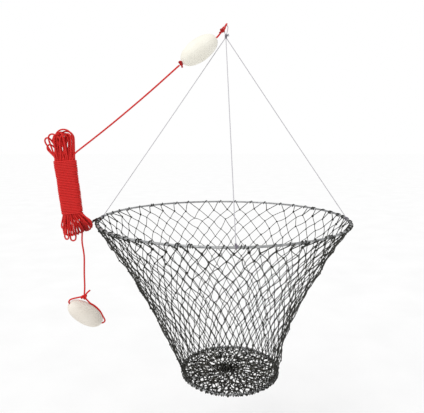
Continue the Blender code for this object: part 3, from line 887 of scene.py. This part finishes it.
def add_harness():
    """Three lines from the apex knot, each with its hitch on the hoop, and the loop above the knot."""
    knot_length, knot_core = 0.0140, 0.0024
    coil = []
    for step in range(4 * 16 + 1):
        angle = 2 * math.pi * step / 16
        height = APEX[2] + knot_length / 2 - 0.0015 - (knot_length - 0.003) * step / 64
        coil.append((knot_core * math.cos(angle), knot_core * math.sin(angle), height))
    core = [APEX + UP * knot_length * 0.48, APEX, APEX - UP * knot_length * 0.48]
    tags = []
    for direction, length in (((0.8, -0.25, 0.6), 0.011), ((0.95, -0.4, 0.15), 0.010)):
        tip = APEX + unit(direction) * length
        tags.append(smooth_route([APEX, (APEX + tip) / 2 + UP * 0.0008, tip], 0.0006))
    lines = [smooth_route(coil, 0.0006), smooth_route(core, 0.001), *tags]
    knot = APEX_CORD.add("apex_knot", lines, ["apex_knot"])
    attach(knot, "root")

    crown = -HARNESS / 2
    side = [(0.0014, APEX[2] + 0.0055), (0.0034, APEX[2] + 0.0120), (0.0060, crown - 0.0085),
            (0.0048, crown - 0.0025)]
    route = [(-x, 0, z) for x, z in side] + [(0, 0, crown)] + [(x, 0, z) for x, z in side[::-1]]
    loop = HARNESS_CORD.add("lifting_loop", [smooth_route(route, 0.0007)], ["lifting_loop"])
    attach(loop, "root")

    for name, angle in HARNESS_ANGLES.items():
        place, outward, rod_way = on_hoop(TOP_CENTRE, TOP_RADIUS, angle)
        top = APEX + outward * 0.0024 - UP * (knot_length / 2 - 0.0015)
        pull = top - place
        pull = unit(pull - rod_way * (pull @ rod_way))
        bottom = place + pull * (ROD + HARNESS * 1.6)
        middle = (top + bottom) / 2 - UP * 0.0012
        line = smooth_route([top, middle, bottom], 0.0012)
        piece = HARNESS_CORD.add(f"harness_line_{name}", [line], [f"harness_line_{name}"])
        # The first part hangs still as the hoop rises, so that a slack line clears the upper float
        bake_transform(piece)
        turns = round_rod(place, outward, rod_way, ROD + HARNESS * 0.5, 2.2, 0.0052, 60)
        knot_at = place + pull * (ROD + HARNESS * 1.25)
        twist = []
        for step in range(25):
            share = step / 24
            around = 2 * math.pi * 1.5 * share
            off = rod_way * math.cos(around) + np.cross(pull, rod_way) * math.sin(around)
            twist.append(knot_at + off * 0.0017 + pull * (0.0045 * share - 0.0018))
        tag_way = unit(outward * 0.8 - UP * 0.35 + rod_way * 0.5)
        tag_end = knot_at + tag_way * 0.011
        tag = smooth_route([knot_at, (knot_at + tag_end) / 2 + UP * 0.001, tag_end], 0.0007)
        lines = [smooth_route(turns, 0.0007), smooth_route(twist, 0.0006), tag]
        hitch = HITCH_CORD.add(f"harness_hitch_{name}", lines, [f"harness_hitch_{name}"])
        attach(hitch, "hoop")


add_harness()


def add_hank_tie():
    """Twine through the ends of the hank's right-hand bights and round the top hoop."""
    place, outward, rod_way = on_hoop(TOP_CENTRE, TOP_RADIUS, TIE_ANGLE)
    near, far = from_hoop(-0.408, 0.0, -0.011), from_hoop(-0.4270, 0.0, -0.0245)
    turns = round_rod(place, outward, rod_way, ROD + TIE / 2, 2.4, 0.0055, -40)
    knot = place + outward * (ROD + 0.0035)
    front, back = np.array([0, -0.0022, 0.0]), np.array([0, 0.0022, 0.0])
    out = [knot, near + front, (near + far) / 2 + front * 1.8, far + front]
    back_way = [far + back, (near + far) / 2 + back * 1.8, near + back, knot - UP * 0.0015]
    loop = smooth_route([*out, far + (-0.004, 0.0, -0.002), *back_way], 0.0010)
    wound = []
    for step in range(33):
        share = step / 32
        around = 2 * math.pi * 2 * share
        off = UP * math.cos(around) + rod_way * math.sin(around)
        wound.append(knot + off * 0.0022 + outward * (0.006 * share - 0.003))
    tag_end = knot + np.array([-0.002, -0.006, -0.012])
    tag = smooth_route([knot, knot + (0.0, -0.004, -0.004), tag_end], 0.0007)
    whipping = []
    for step in range(4 * 12 + 1):
        around = 2 * math.pi * step / 12
        middle = knot + (near - knot) * (step / 48)
        whipping.append(middle + np.array([0.0, math.cos(around), math.sin(around)]) * 0.0032)
    lines = [smooth_route(turns, 0.0007), loop, smooth_route(wound, 0.0007), tag]
    lines.append(smooth_route(whipping, 0.0008))
    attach(TIE_CORD.add("hank_tie", lines, ["hank_tie"]), "hoop")


add_hank_tie()

# Net. The side net is knotted twine: rows of knots, each tied to two in the row below.

MESHES = 54
SIDE_ROWS = 19
FRONT_GATHER = 0.24  # how much closer than the mean the meshes are at the front of the top hoop
BAR_SLACK = 0.0012
SIDE_KNOT, END_KNOT, BASE_NET_KNOT, HITCH = 0.0064, 0.0082, 0.0070, 0.0092  # knots' sizes
NET_WAIST, NET_SWAY = 0.027, 0.010  # as in part.py


def net_place(turn, share, out=0.0):
    """A point of the funnel at a turn round it in radians and a share of its depth."""
    cone = TOP_RADIUS + (BASE_RADIUS - TOP_RADIUS) * share
    radius = cone - NET_WAIST * np.sin(np.pi * np.clip(share, 0, 1) ** 1.15) + out
    centre = TOP_CENTRE + (BASE_CENTRE - TOP_CENTRE) * np.asarray(share)[..., None]
    centre = centre - np.array([1.0, 0, 0]) * (NET_SWAY * np.sin(np.pi * share))[..., None]
    flat = np.stack([np.cos(turn), np.sin(turn), np.zeros_like(turn)], -1)
    return centre + flat * np.asarray(radius)[..., None]


def row_shares():
    """The depth of each row of knots, so that every bar between rows has one length."""
    share = np.linspace(0, 1, 2000)
    radius = TOP_RADIUS + (BASE_RADIUS - TOP_RADIUS) * share
    radius = radius - NET_WAIST * np.sin(np.pi * share**1.15)
    line = np.stack([radius, share * (TOP_CENTRE[2] - BASE_CENTRE[2])], 1)
    slant = reach_of(line)
    first, last = 0.025, slant[-1] - 0.015

    def walk(bar):
        places = [first]
        for _ in range(SIDE_ROWS - 1):
            half = math.pi * np.interp(places[-1], slant, radius) / MESHES
            places.append(places[-1] + math.sqrt(max(bar**2 - half**2, 1e-6)))
        return places

    short, long = 0.024, 0.060
    for _ in range(40):
        bar = (short + long) / 2
        short, long = (bar, long) if walk(bar)[-1] < last else (short, bar)
    return np.interp(walk(short), slant, share)


def side_knots():
    """Every knot of the side net, row by row, a little uneven as tied and handled net is."""
    rows = []
    numbers = np.arange(MESHES)
    for row, share in enumerate(row_shares()):
        turn = 2 * np.pi * (numbers + 0.5 * (row % 2)) / MESHES
        loose = 1.0 if row > 2 else 1.6
        gathered = -FRONT_GATHER * math.exp(-0.5 * share) * np.cos(turn)
        bunch = -0.018 * math.exp(-3 * share) * np.sin(2 * turn)
        slack = 0.011 * np.sin(5 * turn + 0.4 * row) + 0.008 * np.sin(11 * turn - 0.3 * row)
        turn = turn + gathered + bunch + slack + RNG.normal(0, 0.0058 * loose, MESHES)
        depth = share + 0.09 * share * (1 - share) * np.sin(turn) + 0.008 * (row < 2) * np.sin(turn)
        depth = depth + 0.006 * np.sin(4 * turn + 1.0) + RNG.normal(0, 0.0040 * loose, MESHES)
        out = RNG.normal(0, 0.0022, MESHES) + 0.003 * np.sin(6 * turn + 0.5 * row)
        out *= 0.3 if row == SIDE_ROWS - 1 else 1.0
        rows.append(net_place(turn, np.clip(depth, 0.02, 0.985), out))
    return rows


def bar(start, end, bow):
    """One bar of net between two knots, with a little slack to one side."""
    share = np.linspace(0, 1, 5)[:, None]
    return start + (end - start) * share + bow * (4 * share * (1 - share))


def net_bars(rows, slack=BAR_SLACK):
    """The bars between rows of knots: each knot joins two in the row below."""
    lines = []
    for row, (upper, lower) in enumerate(zip(rows, rows[1:])):
        other = 1 if row % 2 else -1
        halved = len(upper) // len(lower)  # 2 where each knot of the row below takes in two
        for number in range(len(upper)):
            for step in (0, other)[: 3 - halved]:
                bow = RNG.normal(0, slack, 3) * (1.0, 1.0, min(1.0, BAR_SLACK / slack))
                lines.append(bar(upper[number], lower[(number // halved + step) % len(lower)], bow))
    return lines


def lashings(knots, centre, radius, clear, turn_counts, lengths, lift, lean=0.0):
    """The twine that laces a row of knots to a hoop: to the hoop, some turns round it, and back.

    lean is how far, in radians, the turns have slid towards the hoop's left and right ends.
    """
    lines = []
    for number, knot in enumerate(knots):
        after = knots[(number + 1) % len(knots)]
        between = (knot + after) / 2 - centre
        angle = math.atan2(between[1], between[0])
        angle += RNG.normal(0, 0.012) - lean * math.sin(2 * angle)
        place, outward, rod_way = on_hoop(centre, radius, math.degrees(angle))
        turns = float(RNG.choice(turn_counts))
        length = float(RNG.uniform(*lengths))
        wrap = round_rod(place, outward, rod_way, ROD + clear, turns, length, lift, 8)
        lines.append(smooth_route([knot, *wrap, after], 0.0022))
    return lines


def knot_lumps(places, size, cord):
    """Small drawn-down knots, each turned its own way."""
    flat = trefoil(15, 1.6)
    lines = []
    for place in places:
        x, z = unit(RNG.normal(0, 1, 3)), unit(RNG.normal(0, 1, 3))
        x = unit(np.cross(z, x))
        scale = (size * RNG.uniform(0.85, 1.2) - cord.diameter) / 6
        lines.append(place + scale * flat @ np.stack([x, np.cross(z, x), z]))
    return lines


def add_side_net():
    rows = side_knots()
    counts = (0.75, 1.25, 1.25, 2.25)
    top = lashings(rows[0], TOP_CENTRE, TOP_RADIUS, 0.0016, counts, (0.011, 0.024), -80, 0.04)
    foot = lashings(rows[-1], BASE_CENTRE, BASE_RADIUS, 0.0014, (1.25,), (0.006, 0.012), 60)
    inner, outer = np.concatenate(rows[1:-1]), np.concatenate([rows[0], rows[-1]])
    pieces = [
        NET_TWINE.add("side_net", net_bars(rows), ["side_net"]),
        LASHING.add("side_net_rim_lashings", top, ["side_net"]),
        NET_TWINE.add("side_net_foot_lashings", foot, ["side_net"]),
        KNOT_TWINE.add("side_net_knots", knot_lumps(inner, SIDE_KNOT, KNOT_TWINE), ["side_net"], True),
        LASHING_KNOT.add(
            "side_net_end_knots", knot_lumps(outer, END_KNOT, LASHING_KNOT), ["side_net"], True
        ),
    ]
    for piece in pieces:
        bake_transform(piece)


add_side_net()

BASE_ROWS, HALVED_ROW = 12, 7


def add_base_net():
    """Flat net laced inside the base hoop, its meshes closing up to the tie in the middle."""
    low, high = box("base_gather_tie")
    tie = (low + high) / 2
    level = box("base_net")[0][2] + TWINE
    rows = []
    for row in range(BASE_ROWS):
        share = row / (BASE_ROWS - 1)
        radius = (BASE_RADIUS - 0.0195) * (1 - share) ** 0.92 + 0.0085
        meshes = MESHES if row < HALVED_ROW else MESHES // 2
        turn = 2 * np.pi * (np.arange(meshes) + 0.5 * (row % 2)) / meshes
        turn += RNG.normal(0, 0.032, meshes)
        radii = radius * (1 + RNG.normal(0, 0.032, meshes))
        centre = BASE_CENTRE * (1 - share) + tie * share
        height = level + np.abs(RNG.normal(0.0008, 0.0011, meshes))
        rows.append(
            np.stack([centre[0] + radii * np.cos(turn), centre[1] + radii * np.sin(turn), height], 1)
        )
    piece = BASE_TWINE.add("base_net", net_bars(rows, 0.0034), ["base_net"])
    laced = lashings(rows[0], BASE_CENTRE, BASE_RADIUS, 0.0030, (1.25,), (0.005, 0.011), 150)
    lacing = NET_TWINE.add("base_net_lashings", laced, ["base_net"])
    lumps = knot_lumps(np.concatenate(rows[:-1]), BASE_NET_KNOT, BASE_KNOT)
    knots = BASE_KNOT.add("base_net_knots", lumps, ["base_net"], True)
    hitched = []
    for number in range(MESHES):
        angle = 360 * (number + RNG.uniform(-0.2, 0.2)) / MESHES
        place, outward, _ = on_hoop(BASE_CENTRE, BASE_RADIUS, angle)
        hitched.append(place + outward * (ROD * 1.1) - UP * (ROD * 0.6))
    hitches = LASHING_KNOT.add(
        "base_net_hitches", knot_lumps(hitched, HITCH, LASHING_KNOT), ["base_net"], True
    )
    wound = []
    for step in range(5 * 24 + 1):
        share = step / 120
        angle = 2 * math.pi * 5 * share
        radius = 0.0120 - 0.0095 * share
        wound.append(tie + (radius * math.cos(angle), radius * math.sin(angle), 0.006 * share - 0.003))
    ends = [
        smooth_route([wound[-1], tie + (0.004, 0.001, 0.005), tie + (0.014, -0.006, 0.0035)], 0.001),
        smooth_route([wound[0], tie + (-0.004, 0.004, 0.002), tie + (-0.013, 0.005, 0.001)], 0.001),
    ]
    spokes = []
    for number in range(14):
        turn = 2 * math.pi * number / 14 + RNG.normal(0, 0.05)
        flat = np.array([math.cos(turn), math.sin(turn), 0.0])
        spokes.append([tie + flat * 0.007 - UP * 0.0015, tie + flat * 0.004 + UP * 0.001,
                       tie + flat * 0.002 + UP * (0.002 + RNG.uniform(0, 0.002))])
    lines = [smooth_route(wound, 0.001), *ends, *spokes]
    gather = GATHER_TWINE.add("base_gather_tie", lines, ["base_gather_tie"])
    for part in (piece, lacing, knots, hitches, gather):
        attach(part, "base")


add_base_net()

# Studio

FLOOR_DROP = 0.55  # the floor is this far under the hanging trap
SOFT_LIGHT, KEY_LIGHT = 0.70, 1.35


def add_studio():
    floor_level = CAD_BOX[0][2] - FLOOR_DROP
    size = 40.0
    mesh = bpy.data.meshes.new("floor")
    corners = [(-size, -size), (size, -size), (size, size), (-size, size)]
    mesh.from_pydata([(x, y, floor_level) for x, y in corners], [], [(0, 1, 2, 3)])
    floor = bpy.data.objects.new("floor", mesh)
    bpy.context.scene.collection.objects.link(floor)
    n = Nodes("pale_floor")
    tone = n.noise(n.place(), 3.0, 2.0)
    colour = n.mix(n.levels(tone, 0.3, 0.7), (0.93, 0.93, 0.93), (0.96, 0.96, 0.96))
    mesh.materials.append(n.finish({"Base Color": colour}, {"Roughness": 0.95, "Specular IOR Level": 0.0}))

    world = bpy.data.worlds.new("studio")
    world.use_nodes = True
    tree = world.node_tree
    lighting = tree.nodes["Background"]
    lighting.inputs["Color"].default_value = (1.0, 1.0, 1.0, 1.0)
    lighting.inputs["Strength"].default_value = SOFT_LIGHT
    backdrop = tree.nodes.new("ShaderNodeBackground")
    backdrop.inputs["Color"].default_value = (1.0, 1.0, 1.0, 1.0)
    ray = tree.nodes.new("ShaderNodeLightPath")
    choice = tree.nodes.new("ShaderNodeMixShader")
    tree.links.new(ray.outputs["Is Camera Ray"], choice.inputs[0])
    tree.links.new(lighting.outputs[0], choice.inputs[1])
    tree.links.new(backdrop.outputs[0], choice.inputs[2])
    tree.links.new(choice.outputs[0], tree.nodes["World Output"].inputs["Surface"])
    bpy.context.scene.world = world

    sun = bpy.data.lights.new("key", "SUN")
    sun.energy = KEY_LIGHT
    sun.angle = math.radians(50)
    light = bpy.data.objects.new("key", sun)
    light.rotation_euler = Vector((0.55, 0.75, -1.25)).to_track_quat("-Z", "Y").to_euler()
    bpy.context.scene.collection.objects.link(light)
    bpy.context.scene.view_settings.view_transform = "Standard"


add_studio()

bpy.context.view_layer.update()
